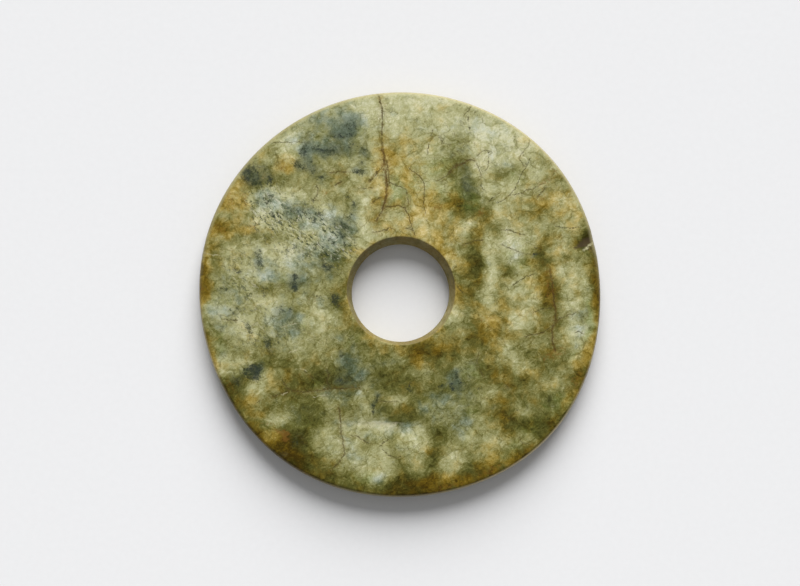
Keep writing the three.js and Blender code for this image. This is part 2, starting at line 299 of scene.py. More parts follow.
# Rust-brown spots: the same six numbers, with amount from 0 to 1.
RUST_SPOTS = [
    (-58, -67.5, 3, 1.6, -20, 1.0), (-55.5, -70.5, 2.6, 2, -60, 1.0), (-64, -63, 4, 1.4, 20, 0.4),
    (-83, 47, 2, 7, 20, 0.5), (-57, 63, 2.4, 3, 0, 0.5), (-76, 47, 1.2, 6, 8, 0.5),
    (-92, 33, 8, 2, -10, 0.5), (-7, 64, 3, 4, 0, 0.5), (19, 43, 2, 3, 0, 0.5), (73, 8, 2, 7, 0, 0.45),
    (75, 0, 2, 5, 0, 0.4), (78, -29, 4, 3, 20, 0.5), (72, -31, 3, 2, 0, 0.5), (40, 40, 1.6, 3, -20, 0.7),
    (75, 58, 7, 1.6, 42, 0.5), (70, 47, 4, 2, 0, 0.4), (88, -42, 3, 4, -20, 0.5),
    (65, -76, 4, 1.6, 35, 0.4), (-36, 50, 2, 1.6, 0, 0.5), (-44, -2, 3, 2, 0, 0.35),
    (44, -14, 7, 5, 0, 0.3), (-98, 3, 1.6, 6, 0, 0.6), (-97, -13, 1.4, 4, 0, 0.5),
    (25, -95, 9, 1.6, 14, 0.5), (45, -87, 7, 1.6, 27, 0.5), (-82, -45, 1.6, 5, 20, 0.3),
    (-46, -40, 6, 3, 0, 0.2), (-72, 33, 2.4, 2.4, 0, 0.4), (8, -31, 3, 2, 0, 0.3),
]

# Where the stone is a mossier green.
MOSS_PATCHES = [
    (0, 52, 8, 11, 0, 0.9), (20, 47, 12, 6, 0, 0.7), (34, 47, 7, 6, 0, 0.9), (14, 58, 22, 8, 0, 0.5),
    (20, 68, 7, 8, 0, 0.5), (-14, 60, 4, 8, 0, 0.4), (-10, 80, 14, 6, 20, 0.3), (58, 57, 5, 5, 0, 0.6),
    (60, 16, 9, 9, 0, 0.5), (63, 2, 5, 4, 0, 0.5), (35, 10, 5, 20, 0, 0.3), (95, -12, 4, 12, 0, 0.8),
    (88, -30, 5, 5, 0, 0.6), (80, -53, 8, 8, 0, 0.8), (66, -66, 7, 6, 0, 0.8), (56, -79, 7, 6, 30, 0.8),
    (43, -80, 8, 4, 20, 0.5), (35, -56, 18, 16, 0, 0.4), (36, -38, 5, 4, 0, 0.5), (24, -15, 4, 6, -30, 0.5),
    (15, -24, 5, 3, 20, 0.4), (-22, -22, 6, 4, 20, 0.5), (-42, -42, 10, 5, -10, 0.6),
    (-25, -43, 5, 3, 0, 0.5), (-50, -62, 20, 12, 0, 0.35), (-68, -65, 5, 3, -30, 0.5),
    (-18, -92, 10, 5, -10, 0.6), (-88, -24, 5, 6, 0, 0.5), (-90, 0, 9, 18, 0, 0.3),
    (-50, -13, 5, 5, 0, 0.3), (-60, 8, 20, 9, 0, 0.25), (60, -30, 16, 12, 0, 0.3), (90, 12, 7, 12, 0, 0.4),
    (-45, 75, 22, 8, 10, 0.25), (-93, 18, 5, 5, 0, 0.4),
]

# The stone along the rim: bearing, half reach in degrees, width inwards, tone, warmth.
RIM_PATCHES = [
    (0, 16, 3, -0.12, 0.3), (-28, 18, 5, -0.06, 0.2), (-60, 22, 6, -0.05, 0.1), (-90, 20, 7, -0.07, 0.1),
    (-120, 20, 10, -0.12, 0.35), (-150, 13, 5, -0.10, 0.4), (180, 13, 4.5, -0.06, 0.5),
    (150, 14, 4, 0.03, 0.35),
]

# Where a painted highlight runs pale along the upper edge of the rim: bearing, reach in degrees, amount.
PAINTED_EDGE_HIGHLIGHTS = [(-52, 30, 0.9), (-105, 22, 0.35), (-163, 14, 0.5), (60, 40, 0.3)]

# Ink-dark blots of mineral: the same six numbers, with amount from 0 to 1.
INK_BLOTS = [
    (-73.5, 60, 4.5, 3.2, 60, 1.0), (-69.5, 54, 3, 2.4, -30, 0.8), (-66, 61.5, 1.6, 1.2, -50, 0.6),
    (-63.5, 56, 2.2, 1.7, 80, 1.0), (-46.5, 70.5, 3.2, 2, 80, 1.0), (-41, 72, 1.8, 1.5, 0, 0.8),
    (-38, 70.3, 1.5, 1.2, 0, 0.7), (-34, 69.8, 2.6, 1.4, 10, 0.9), (-23.5, 82.5, 3.2, 3, 0, 0.7),
    (-29.5, 77.5, 3, 1.2, 0, 0.8), (-23, 78, 2.2, 0.9, -10, 0.6), (-26, 72.5, 7, 2, 0, 0.5),
    (-17, 70, 2, 1.2, -60, 0.8), (-18.5, 64.5, 1.2, 1, 0, 0.7), (-19.8, 60, 3.6, 1.5, -10, 1.0),
    (-50.5, 64, 2, 1.4, -40, 0.8), (-47, 62.5, 2.4, 1.6, -30, 0.7), (-43, 65, 2, 1.4, 90, 0.7),
    (-42, 60.5, 2, 1.3, 80, 0.7), (-38.5, 57.5, 2, 1.4, 30, 0.7), (-42, 46.5, 1.3, 0.9, -50, 0.8),
    (-69, 19, 3.4, 2, -75, 0.8), (-68, 14, 2.2, 1.2, -50, 0.7), (-51, 9, 1.5, 1.2, 0, 0.8),
    (-51.5, 5, 3.2, 2.6, 60, 0.7), (-51, 2.5, 1.6, 1, -80, 0.7), (-36, 13.5, 3, 1.8, -50, 1.0),
    (-31.5, -3, 3, 2.3, -60, 1.0), (-39, -2, 1.8, 1, -30, 0.7), (-58, -7.5, 2.4, 1.6, -50, 0.7),
    (-53.5, -7.5, 2.6, 0.8, 70, 0.8), (-73, -37.8, 4.6, 3, 32, 1.0), (-70, -41, 2.6, 2, 60, 0.8),
    (-69, -36.5, 2, 1.4, 20, 0.6), (-29, -42, 2, 1.6, 0, 0.8), (-28.5, -30, 1.1, 0.8, 80, 1.0),
    (-10.6, -50.2, 1, 0.8, 0, 1.0), (-10.9, -52.6, 1.3, 0.8, 80, 0.9), (-12.7, -54.9, 1, 0.9, 0, 1.0),
    (-12.6, -57.6, 1.6, 0.8, 85, 0.8), (26, -45, 2.6, 1.3, -75, 1.0), (28.3, -40, 2.6, 1, -75, 0.9),
    (31, -45, 2.4, 2, 80, 0.6), (39.3, -46.6, 2, 1.4, 0, 0.6), (20.4, -45.3, 1.6, 0.6, 20, 0.9),
    (5.4, -46.5, 2, 2, 0, 0.6), (-70, 45, 2, 0.8, 15, 0.8), (-64.5, 45.3, 1.8, 1.3, 30, 0.8),
    (-63, 48, 1.6, 0.8, -40, 0.8), (-67, 41.3, 0.9, 0.8, 0, 0.7), (-62.8, 39.3, 1.8, 1, -40, 0.9),
    (-54, 38, 3.4, 2, 100, 0.5), (-79, 11, 2.4, 1.3, -30, 0.8), (-83, 12, 0.8, 0.6, -40, 0.8),
    (-75.5, 6.5, 1.6, 0.6, -50, 0.8), (-86, 2.5, 2.6, 0.8, -10, 0.8), (-73, 0, 1.4, 0.9, -30, 0.7),
    (-67.3, 2, 2.2, 0.7, -65, 0.8), (-66.2, -1, 1, 0.6, 60, 0.8), (-82, -9, 2.6, 0.8, -45, 0.7),
    (-79, -7.5, 1.8, 1, -40, 0.6), (-87.5, -16, 2.6, 1, 90, 0.5), (-75, -14.5, 3, 1, -50, 0.6),
    (-73, -18, 2.4, 1.4, -60, 0.6), (-64.5, -24.5, 3.6, 1.5, -75, 0.9), (-59.5, -23.5, 1.6, 1, -30, 0.6),
    (-52, 23.5, 2.4, 1.6, 50, 0.7), (-55, 21.3, 1, 0.7, -50, 0.8), (-32, 35, 2.6, 1.5, 90, 0.6),
    (-27.5, 34.5, 2.8, 1.1, -50, 0.9), (-24, 40, 3, 1.6, 80, 0.5), (-28.5, 29, 2.6, 1, -60, 0.8),
    (-27, 24, 1.6, 0.8, -70, 0.8), (-33, 26, 3, 1, -50, 0.7), (-38.5, 24.5, 3, 1, -50, 0.6),
    (-31.5, 18.5, 2, 1.4, 20, 0.5), (-26, 48.5, 2, 1, -60, 0.7), (-22.6, 44.5, 1.6, 0.8, -60, 0.8),
    (-42.5, 36, 1.6, 1, 40, 0.6), (-48, 41, 6, 1.4, -18, 0.6), (-39, 39.3, 2.4, 1, -25, 0.7),
    (33, 53.5, 2.6, 1.8, 80, 0.55), (47.6, -55, 1, 0.7, 0, 0.7), (58.8, -57, 0.9, 0.7, 0, 0.7),
    (52.8, -45.4, 1.4, 1, 0, 0.5), (48.7, 45.4, 0.7, 0.7, 0, 1.0), (67, 19.4, 1, 0.7, 0, 0.9),
    (68.3, 22.6, 2, 1.8, 60, 0.5), (-80, -43.5, 5, 1.3, -62, 0.6), (-57.3, -79, 1.6, 1.1, 60, 0.7),
    (-50, -73, 3.6, 2.6, -50, 0.5), (55, -61.5, 1.8, 1, -40, 0.5),
]

# Blue-grey hazes without a dark core.
HAZES = [
    (-26, 82, 9, 6, 10, 0.42), (-46, 80, 2.6, 8, 0, 0.35), (-38, 84, 4, 5, 0, 0.35),
    (-33, 71, 14, 3.5, 0, 0.35), (-43, 63, 7, 5, 0, 0.28), (-72, 58, 7, 5, 0, 0.21),
    (-47, 40, 9, 3, -20, 0.28), (-30, 30, 7, 8, -40, 0.28), (-88, -8, 7, 12, 0, 0.21),
    (-52, 4, 8, 7, 0, 0.24), (-60, 10, 10, 4, -30, 0.21), (-36, -20, 6, 5, 0, 0.21),
    (-58, -9, 5, 5, 0, 0.21), (-25, -34, 8, 10, 0, 0.32), (-16, -44, 10, 5, 0, 0.28),
    (-58, -57, 9, 5, 0, 0.21), (25, -50, 12, 8, -20, 0.24), (52, -47, 6, 8, -30, 0.17),
    (30, 78, 4, 12, -20, 0.24), (33, 56, 5, 9, 10, 0.32), (20, 75, 8, 5, 0, 0.17), (58, 60, 10, 5, 0, 0.17),
    (60, 17, 8, 6, 0, 0.21), (-20, 63, 5, 4, 0, 0.28), (30, -66, 5, 8, 0, 0.21),
]

# Where the stone is flecked and streaked: the same six numbers.
FLECKED = [
    (-50, 33, 26, 14, -25, 0.9), (-78, 5, 14, 14, 0, 0.7), (-34, 27, 12, 12, 0, 0.6),
    (-66, -18, 20, 10, 0, 0.5), (-66, 43, 9, 8, 0, 0.5),
]

# Cracks: width in millimetres, brown stain beside them from 0 to 1, and the places they run through.
CRACKS = [
    (0.7, 0.5, [(-10.2, 99.5), (-9, 95), (-8.2, 91), (-8, 86), (-8.3, 80), (-8.5, 76), (-8.2, 71)]),
    (1.2, 1.0, [(-8.2, 71), (-7.3, 67), (-7, 63), (-6.4, 58), (-6, 53),
                (-6.2, 49), (-7.5, 45), (-8.2, 41.5)]),
    (0.6, 0.7, [(-8.2, 41.5), (-10, 38.5), (-11.5, 36)]),
    (0.45, 0.7, [(-6, 66), (-5.4, 62), (-5.3, 58), (-5.2, 55)]),
    (0.4, 0.4, [(-8, 62.5), (-10.5, 60.3)]),
    (1.0, 0.6, [(-10.5, 60.3), (-12.5, 57.8), (-14.5, 55.5)]),
    (0.45, 0.5, [(-5.5, 55), (-2, 53.8), (1.5, 52.5), (3.5, 50.5), (4.2, 47), (4, 44.5)]),
    (0.5, 0.5, [(-7, 43), (-1.5, 43.5), (2.5, 42.8), (4.3, 39), (5.5, 35.5), (5.8, 33), (7.5, 29.5)]),
    (0.4, 0.4, [(-13.5, 45), (-11, 46.5), (-9, 48)]),
    (0.35, 0.3, [(-19.5, 51.8), (-16, 52), (-13, 52.4)]),
    (0.55, 0.4, [(-13, 30.3), (-8, 31.6), (-5, 32.6), (-3.5, 32.2)]),
    (0.7, 0.4, [(3.2, 32.4), (6.2, 32)]),
    (0.4, 0.5, [(4.8, 62), (8, 59.5), (11, 57), (12.3, 53.5), (12.2, 48), (11.7, 43.5), (12.8, 40)]),
    (0.4, 0.2, [(16.5, 80.8), (16, 77), (14.8, 74), (14, 69)]),
    (0.35, 0.2, [(20, 77), (21.5, 74.3), (24.5, 73.2)]),
    (0.9, 0.5, [(28, 63.4), (26, 61.3), (24.3, 59.2)]),
    (0.35, 0.3, [(24.3, 59.2), (21.5, 57.2), (19, 55.8)]),
    (0.9, 0.5, [(28.5, 63.2), (31, 63.9), (33.5, 65.3), (36, 66), (37.6, 65.6)]),
    (0.35, 0.2, [(37.6, 65.6), (39, 62), (40.2, 59), (40.4, 54), (41, 51.4), (42.6, 50.4)]),
    (0.45, 0.5, [(-34, 59.5), (-30, 60.2), (-26, 60)]),
    (0.6, 0.5, [(-31.5, 53.5), (-28.5, 55.3)]),
    (0.35, 0.3, [(-40.5, 53.5), (-39.8, 51), (-40.5, 48.5), (-42, 46.5)]),
    (0.35, 0.1, [(-62, 74.3), (-54, 74.6), (-44, 74.4)]),
    (0.35, 0.1, [(36.5, 92.5), (34, 90), (32, 87.5)]),
    (0.5, 0.1, [(34.3, 87), (34.3, 83), (35, 80.8)]),
    (0.35, 0.2, [(38.5, 68), (40, 69.8), (43, 70.8), (46, 69.5)]),
    (0.3, 0.1, [(44, 70), (44.2, 66), (43.5, 62), (41.5, 59)]),
    (0.35, 0.2, [(64.5, 75.5), (63.5, 72.5), (62, 70.5), (60, 68.5), (59.5, 66), (61.5, 63)]),
    (0.4, 0.1, [(64.5, 66.5), (62.5, 62), (60.5, 59.5), (59, 55.5), (57.2, 52)]),
    (0.55, 0.1, [(57.2, 52), (55, 49.2), (52.3, 46.8), (50, 45.6), (48.6, 45.3)]),
    (0.5, 0.1, [(43.6, 45), (45.3, 46.4), (46.5, 47.6)]),
    (0.35, 0.1, [(46.5, 47.6), (49.3, 49.6)]),
    (0.4, 0.3, [(56, 48.7), (60, 49.4), (63, 51.3), (65, 51)]),
    (0.35, 0.3, [(65, 51), (68, 52.6), (71.5, 54.5)]),
    (0.5, 0.3, [(68.2, 47.5), (70, 49.6), (72.5, 52.3)]),
    (0.5, 0.3, [(50.5, 31.8), (54, 31.4), (58, 30), (61.5, 29)]),
    (0.45, 0.1, [(77, 33.3), (80, 32.6), (84, 32.3), (88, 32.5)]),
    (0.5, 0.2, [(50.3, 24.2), (54, 22.9), (58, 21.2), (61, 20.1), (64.3, 19.7)]),
    (0.4, 0.3, [(31, 24.5), (34, 25.2), (37, 26.5), (41, 26.8)]),
    (0.4, 0.1, [(56, 4.5), (59, 6.8), (63, 8.8), (66.2, 9.8)]),
    (0.35, 0.2, [(66, -9), (69, -7.8), (72, -6.8), (75, -7.2)]),
    (0.5, 0.3, [(62, -21), (66, -20), (69, -19.6), (72, -18.2), (75, -16.3),
                (77, -13.6), (81, -11.4), (87, -9.4)]),
    (0.7, 0.8, [(74, 12), (75.5, 6), (76, 0), (77, -8), (77, -14), (75.5, -17), (75.5, -22), (77, -28)]),
    (0.35, 0.2, [(87, -19), (88.5, -18.4), (91, -19.8)]),
    (0.7, 0.2, [(28.3, 3.8), (29.6, 2.6), (31, 1)]),
    (0.4, 0.2, [(-86.5, -12.3), (-83, -12.8), (-79.5, -13)]),
    (0.35, 0.3, [(-53.5, -47.6), (-56, -44.8), (-57.5, -42.3)]),
    (0.45, 0.5, [(-63, -50.8), (-58.5, -49.2), (-53.5, -47.4), (-46, -48.2),
                 (-38, -47), (-30, -46.3), (-20, -45.8)]),
    (0.6, 0.2, [(-46.5, -38), (-44.3, -39.6), (-42, -41.8)]),
    (0.4, 0.3, [(-36, -36.4), (-35, -39.5), (-35.5, -43), (-34.5, -46)]),
    (0.35, 0.2, [(-9.5, -52.6), (-5, -52.9), (-1, -52.6)]),
    (0.7, 0.5, [(-29.5, -56), (-28.6, -62), (-28.5, -67), (-27.5, -72), (-27, -76)]),
    (0.55, 0.4, [(-27, -76), (-26.6, -79), (-29.5, -83), (-33.5, -87)]),
    (0.6, 0.3, [(-23.5, -69.6), (-20.5, -70), (-18, -71.6), (-15, -73.4)]),
    (0.5, 0.1, [(-9.2, -75), (-8, -73.4), (-5, -71.6)]),
    (0.4, 0.1, [(-8, -76.5), (-5, -79.3), (-2, -80.3), (1, -80)]),
    (0.4, 0.3, [(-70, -53.6), (-68, -52.6)]),
    (0.35, 0.3, [(38.8, -29), (38.2, -33), (39.5, -37), (41, -40)]),
    (0.35, 0.2, [(59, -70.5), (61, -73.5), (63.5, -74)]),
]

# Pale veins and scratches: width and route.
PALE_VEINS = [
    (0.5, [(-97, 19), (-94.5, 19.8), (-92, 19.2), (-88.5, 19)]),
    (0.4, [(-58, -16.3), (-54, -15), (-50, -14.2)]),
    (0.6, [(-54, -28.6), (-52, -28), (-50, -27.4)]),
    (0.5, [(-51, -37), (-47.5, -36.6), (-45.5, -37.6)]),
    (0.5, [(-57.5, -49.4), (-55, -48.6)]),
    (0.5, [(-42, -50.6), (-38.5, -49.8), (-35, -49.6)]),
    (0.4, [(-62, 47), (-58.5, 48.5), (-55.5, 48)]),
    (1.0, [(91, 21.5), (94, 23.2), (96.5, 24.6)]),
]

PATTERN_LEAN = (0.45, -0.3)  # how far the pattern shifts sideways for each millimetre down through the stone
BLOT_SPREAD = 1.1  # an ink-dark blot reaches this many times its listed half sizes,
HAZE_SPREAD = 1.6  # and the haze round it this many times,
HAZE_SHARE = 0.4  # with this share of its amount
FADE_START, FADE_END = 1.0, 2.0  # how far beside a crack its nearness starts and ends to fade
TIP_FADE = 0.9  # how far past its tip a crack fades out
STAIN_REACH = 1.8
HOLE_WARMTH, HOLE_WARMTH_REACH = 0.3, 5


def ovals(by_amount):
    """Patches from a table of amounts and the places that have them. A place without a turn isn't turned."""
    return [(x, y, along, across, *(turn or [0]), amount)
            for amount, places in by_amount.items()
            for x, y, along, across, *turn in places]


def smooth_rise(value, low, high):
    share = np.clip((value - low) / (high - low), 0, 1)
    return share * share * (3 - 2 * share)


def oval_axes(x, y, oval):
    """How far places lie along and across an oval, counted in its half sizes."""
    middle_x, middle_y, along, across, turn = oval
    c, s = cos(radians(turn)), sin(radians(turn))
    u = ((x - middle_x) * c + (y - middle_y) * s) / along
    v = ((y - middle_y) * c - (x - middle_x) * s) / across
    return u, v


def turn_between(bearing, middle):
    """The turn from one bearing to another, from -180 to 180 degrees."""
    return (bearing - middle + 180) % 360 - 180


# ---------------------------------------------------------------- the spun form


def bend(start, steer, end, steps):
    """Points of a quadratic curve after its start."""
    shares = [step / steps for step in range(1, steps + 1)]
    start, steer, end = Vector(start), Vector(steer), Vector(end)
    return [tuple(start * (1 - s) ** 2 + steer * 2 * s * (1 - s) + end * s * s) for s in shares]


def quarter_round(centre, radius, first_degrees, steps):
    turns = [radians(first_degrees + 90 * step / steps) for step in range(1, steps + 1)]
    return [(centre[0] + radius * cos(turn), centre[1] + radius * sin(turn)) for turn in turns]


def straight(start, end, steps):
    return [tuple(Vector(start).lerp(Vector(end), step / steps)) for step in range(1, steps + 1)]


def section():
    """One side's section as (radius, height): a closed loop that starts under the hole's edge."""
    face_inner = MOUTH_RADIUS + MOUTH_ROUND
    face_outer = RIM_RADIUS - RIM_BULGE - EDGE_ROUND
    edge = RIM_RADIUS - RIM_BULGE
    ridge = (RIDGE_RADIUS, RIDGE_HEIGHT)
    line = straight((face_inner, 0), (face_outer, 0), 16)
    line += quarter_round((face_outer, EDGE_ROUND), EDGE_ROUND, -90, 5)
    line += bend(line[-1], (RIM_RADIUS + RIM_BULGE, RIM_THICKNESS / 2), (edge, RIM_THICKNESS - EDGE_ROUND), 6)
    line += quarter_round((face_outer, RIM_THICKNESS - EDGE_ROUND), EDGE_ROUND, 0, 6)
    line += straight(line[-1], (face_inner, HOLE_THICKNESS), 100)
    mouth_wall = (MOUTH_RADIUS, HOLE_THICKNESS - MOUTH_ROUND)
    line += bend(line[-1], (MOUTH_RADIUS, HOLE_THICKNESS), mouth_wall, 4)
    line += bend(mouth_wall, (TAPER_WAIST, RIDGE_HEIGHT + TAPER_BEND), ridge, 9)
    line += bend(ridge, (TAPER_WAIST, RIDGE_HEIGHT - TAPER_BEND), (MOUTH_RADIUS, MOUTH_ROUND), 8)
    line += bend(line[-1], (MOUTH_RADIUS, 0), (face_inner, 0), 3)
    return line


def spun_disc():
    """The section, drawn as a ring of edges and spun a full turn about the axis."""
    points = section()
    bpy.ops.object.select_all(action="DESELECT")
    bpy.ops.mesh.primitive_circle_add(vertices=len(points), radius=EDGE_ROUND * MM, location=(0, 0, 0))
    disc = bpy.context.object
    disc.name = "jade_disc"
    for vertex, (radius, height) in zip(disc.data.vertices, points):
        vertex.co = (radius * MM, 0, height * MM)
    bpy.ops.object.mode_set(mode="EDIT")
    bpy.ops.mesh.select_all(action="SELECT")
    bpy.ops.mesh.spin(steps=TURN_STEPS, angle=2 * pi, center=(0, 0, 0), axis=(0, 0, 1))
    bpy.ops.mesh.select_all(action="SELECT")
    bpy.ops.mesh.remove_doubles(threshold=0.002 * MM)
    bpy.ops.mesh.normals_make_consistent(inside=False)
    bpy.ops.object.mode_set(mode="OBJECT")
    bpy.ops.object.shade_smooth()
    return disc


def places_of(disc):
    places = np.empty(len(disc.data.vertices) * 3)
    disc.data.vertices.foreach_get("co", places)
    return places.reshape(-1, 3) / MM


def set_places(disc, places):
    disc.data.vertices.foreach_set("co", (places * MM).ravel())
    disc.data.update()


# ---------------------------------------------------------------- the hand work on the form


def work_marks(x, y):
    """How deep the finer marks of sawing, grinding and wear lie below the upper face."""
    waves = [noise.noise((px / 25, py / 25, 0)) * 0.06 + noise.noise((px / 6, py / 6, 4)) * 0.03
             for px, py in zip(x, y)]
    depth = 0.09 + np.array(waves)
    u, v = oval_axes(x, y, GOUGE)
    depth += GOUGE_DEPTH * np.exp(-((u * u + v * v) ** 1.5))
    in_step = smooth_rise(x, -31, -26) * (1 - smooth_rise(x, -2, 3))
    below = SAW_STEP_Y - y
    depth += SAW_STEP_DEPTH * in_step * smooth_rise(below, 0, 0.9) * np.exp(-np.clip(below, 0, None) / 5)
    return np.clip(depth, 0, None)


def hole_centre(z):
    """Middle of the hole at a height: the two drillings lean a little, each its own way."""
    above = ((z - RIDGE_HEIGHT) / (HOLE_THICKNESS - RIDGE_HEIGHT))[:, None]
    below = (z / RIDGE_HEIGHT)[:, None]
    upper = RIDGE_CENTRE + above * (MOUTH_CENTRE - RIDGE_CENTRE)
    lower = UNDER_MOUTH_CENTRE + below * (RIDGE_CENTRE - UNDER_MOUTH_CENTRE)
    return np.where(above > 0, upper, lower).T


def chip_rim(x, y, z):
    """Cuts the upper edge back where a chip is missing."""
    for turn, reach, depth in CHIPS:
        out_x, out_y = cos(radians(turn)), sin(radians(turn))
        level_away = np.hypot(x - RIM_RADIUS * out_x, y - RIM_RADIUS * out_y)
        nearness = np.clip(1 - np.hypot(level_away, z - RIM_THICKNESS) / reach, 0, None)
        bite = depth * nearness * (2 - nearness)
        x, y, z = x - bite * out_x * CHIP_SLANT, y - bite * out_y * CHIP_SLANT, z - bite
    return x, y, z


def work_by_hand(places):
    """Turns the true spun form into the hand-worked one, as the solid has it."""
    x, y, z = places.T.copy()
    radius, bearing = np.hypot(x, y), np.arctan2(y, x)
    outwards = np.clip((radius - MOUTH_RADIUS) / (RIM_RADIUS - MOUTH_RADIUS), 0, 1)
    on_face = smooth_rise(z, RIM_THICKNESS - EDGE_ROUND, RIM_THICKNESS)
    wave = sum(height * np.cos(crests * (bearing - radians(first)))
               for crests, height, first in OUTLINE_WAVES)
    centre_x, centre_y = hole_centre(z)
    x = (radius + outwards * wave) * np.cos(bearing) + (1 - outwards) * centre_x
    y = (radius + outwards * wave) * np.sin(bearing) + (1 - outwards) * centre_y
    for *oval, depth in HOLLOWS:
        u, v = oval_axes(x, y, oval)
        z = z - on_face * depth * np.exp(-u * u - v * v)
    z = z - on_face * (1 - smooth_rise(radius, RIM_RADIUS - 3, RIM_RADIUS) * 0.5) * work_marks(x, y)
    grooves = 0.07 * np.sin(z * 5.2 + 1.1 * np.sin(bearing * 2)) + 0.05 * np.sin(z * 2.3 + bearing * 3)
    in_bore = (radius < MOUTH_RADIUS) * smooth_rise(z, 0.3, 1.2) * (1 - smooth_rise(z, 11.5, 12.5))
    x, y = x + in_bore * (grooves + 0.1) * np.cos(bearing), y + in_bore * (grooves + 0.1) * np.sin(bearing)
    return np.stack(chip_rim(x, y, z), axis=1)


def fit_to_frame(places):
    """Sets the worked form exactly over the solid's box."""
    low, high = np.array(CAD_LOW) / MM, np.array(CAD_HIGH) / MM
    own_low, own_high = places.min(axis=0), places.max(axis=0)
    return low + (places - own_low) * (high - low) / (own_high - own_low)


# ---------------------------------------------------------------- where the colours lie


def patch_field(x, y, patches):
    """Sum of soft-edged oval patches."""
    total = np.zeros_like(x)
    for *oval, amount in patches:
        u, v = oval_axes(x, y, oval)
        total += amount * 0.5 ** ((u * u + v * v) ** 1.3)
    return total


def spread(blots, times, share):
    """Blots that reach further, with a share of their amount."""
    return [(x, y, along * times, across * times, turn, amount * share)
            for x, y, along, across, turn, amount in blots]


def rim_fields(x, y):
    """Tone and warmth that the rim patches add, and the warmth round the hole."""
    inwards = RIM_RADIUS - np.hypot(x, y)
    bearing = np.degrees(np.arctan2(y, x))
    tone, warmth = np.zeros_like(x), np.zeros_like(x)
    for middle, reach, width, patch_tone, patch_warmth in RIM_PATCHES:
        turn = turn_between(bearing, middle)
        share = 0.5 ** ((turn / reach) ** 2) * 0.5 ** ((np.clip(inwards, 0, None) / width) ** 2)
        tone, warmth = tone + share * patch_tone, warmth + share * patch_warmth
    from_hole = np.clip(np.hypot(x - MOUTH_CENTRE[0], y - MOUTH_CENTRE[1]) - MOUTH_RADIUS, 0, None)
    return tone, warmth + HOLE_WARMTH * np.exp(-((from_hole / HOLE_WARMTH_REACH) ** 2))


def ledge_painted_light_field(x, y):
    """Painted light at the second saw cut: a painted highlight in the strip below it, sharp along its upper
    edge and at the crack, and fading down and to the right. Above it, as a negative amount, a painted shadow
    line along the step."""
    below = SAW_STEP_Y - y
    along = smooth_rise(x, -28.8, -28.0) * (1 - smooth_rise(x, -3, 4))
    along = along * (0.35 + 0.65 * smooth_rise(x, -20, -8))
    painted_highlight_strip = smooth_rise(below, 0, 0.7) * (1 - smooth_rise(below, 1.5, 6.5))
    line = smooth_rise(below, -2.6, -0.6) * (1 - smooth_rise(below, -0.3, 0.2))
    return along * (painted_highlight_strip - line)


def gouge_field(x, y):
    """The old gouge by the right of the rim, a wedge with a crisp edge."""
    u, v = oval_axes(x, y, GOUGE)
    return 1 - smooth_rise(np.hypot(u, v / (0.62 + 0.3 * u)), 0.85, 1.1)


def painted_edge_highlight_field(x, y, radius):
    """Where a painted highlight runs pale along the upper edge of the rim."""
    bearing = np.degrees(np.arctan2(y, x))
    painted_highlight = sum(amount * np.exp(-((turn_between(bearing, middle) / reach) ** 2))
               for middle, reach, amount in PAINTED_EDGE_HIGHLIGHTS)
    return np.clip(painted_highlight, 0, 1) * smooth_rise(radius, RIM_RADIUS - 1.5, RIM_RADIUS - 0.5)


def route_fields(x, y, routes):
    """For the nearest of the routes: signed distance to it, nearness from 0 to 1, its width and its stain."""
    nearest = np.full_like(x, 1e3)
    side, near, width, stain = (np.zeros_like(x) for _ in range(4))
    for line_width, line_stain, points in routes:
        last = len(points) - 2
        for index, ((ax, ay), (bx, by)) in enumerate(zip(points, points[1:])):
            length = np.hypot(bx - ax, by - ay)
            ux, uy = (bx - ax) / length, (by - ay) / length
            along = (x - ax) * ux + (y - ay) * uy
            across = (y - ay) * ux - (x - ax) * uy
            past_start = np.clip(-along, 0, None)
            past_end = np.clip(along - length, 0, None)
            distance = np.hypot(past_start + past_end, across)
            past_tip = past_start * (index == 0) + past_end * (index == last)
            closer = distance < nearest
            nearest = np.where(closer, distance, nearest)
            side = np.where(closer, np.where(across < 0, -distance, distance), side)
            beside = 1 - smooth_rise(distance, FADE_START, FADE_END)
            near = np.where(closer, beside * (1 - smooth_rise(past_tip, 0.0, TIP_FADE)), near)
            width = np.where(closer, line_width, width)
            stain = np.maximum(stain, line_stain * np.exp(-((distance / STAIN_REACH) ** 2)))
    return side, near, width, stain


def drift(places, grain, reach, seed):
    """A sideways drift of each place by smooth noise, so that no edge stays a true oval."""
    shift = Vector((seed, 0, 0))
    moves = [noise.noise_vector(Vector(place) / grain + shift) for place in places]
    return np.array(moves)[:, :2] * reach


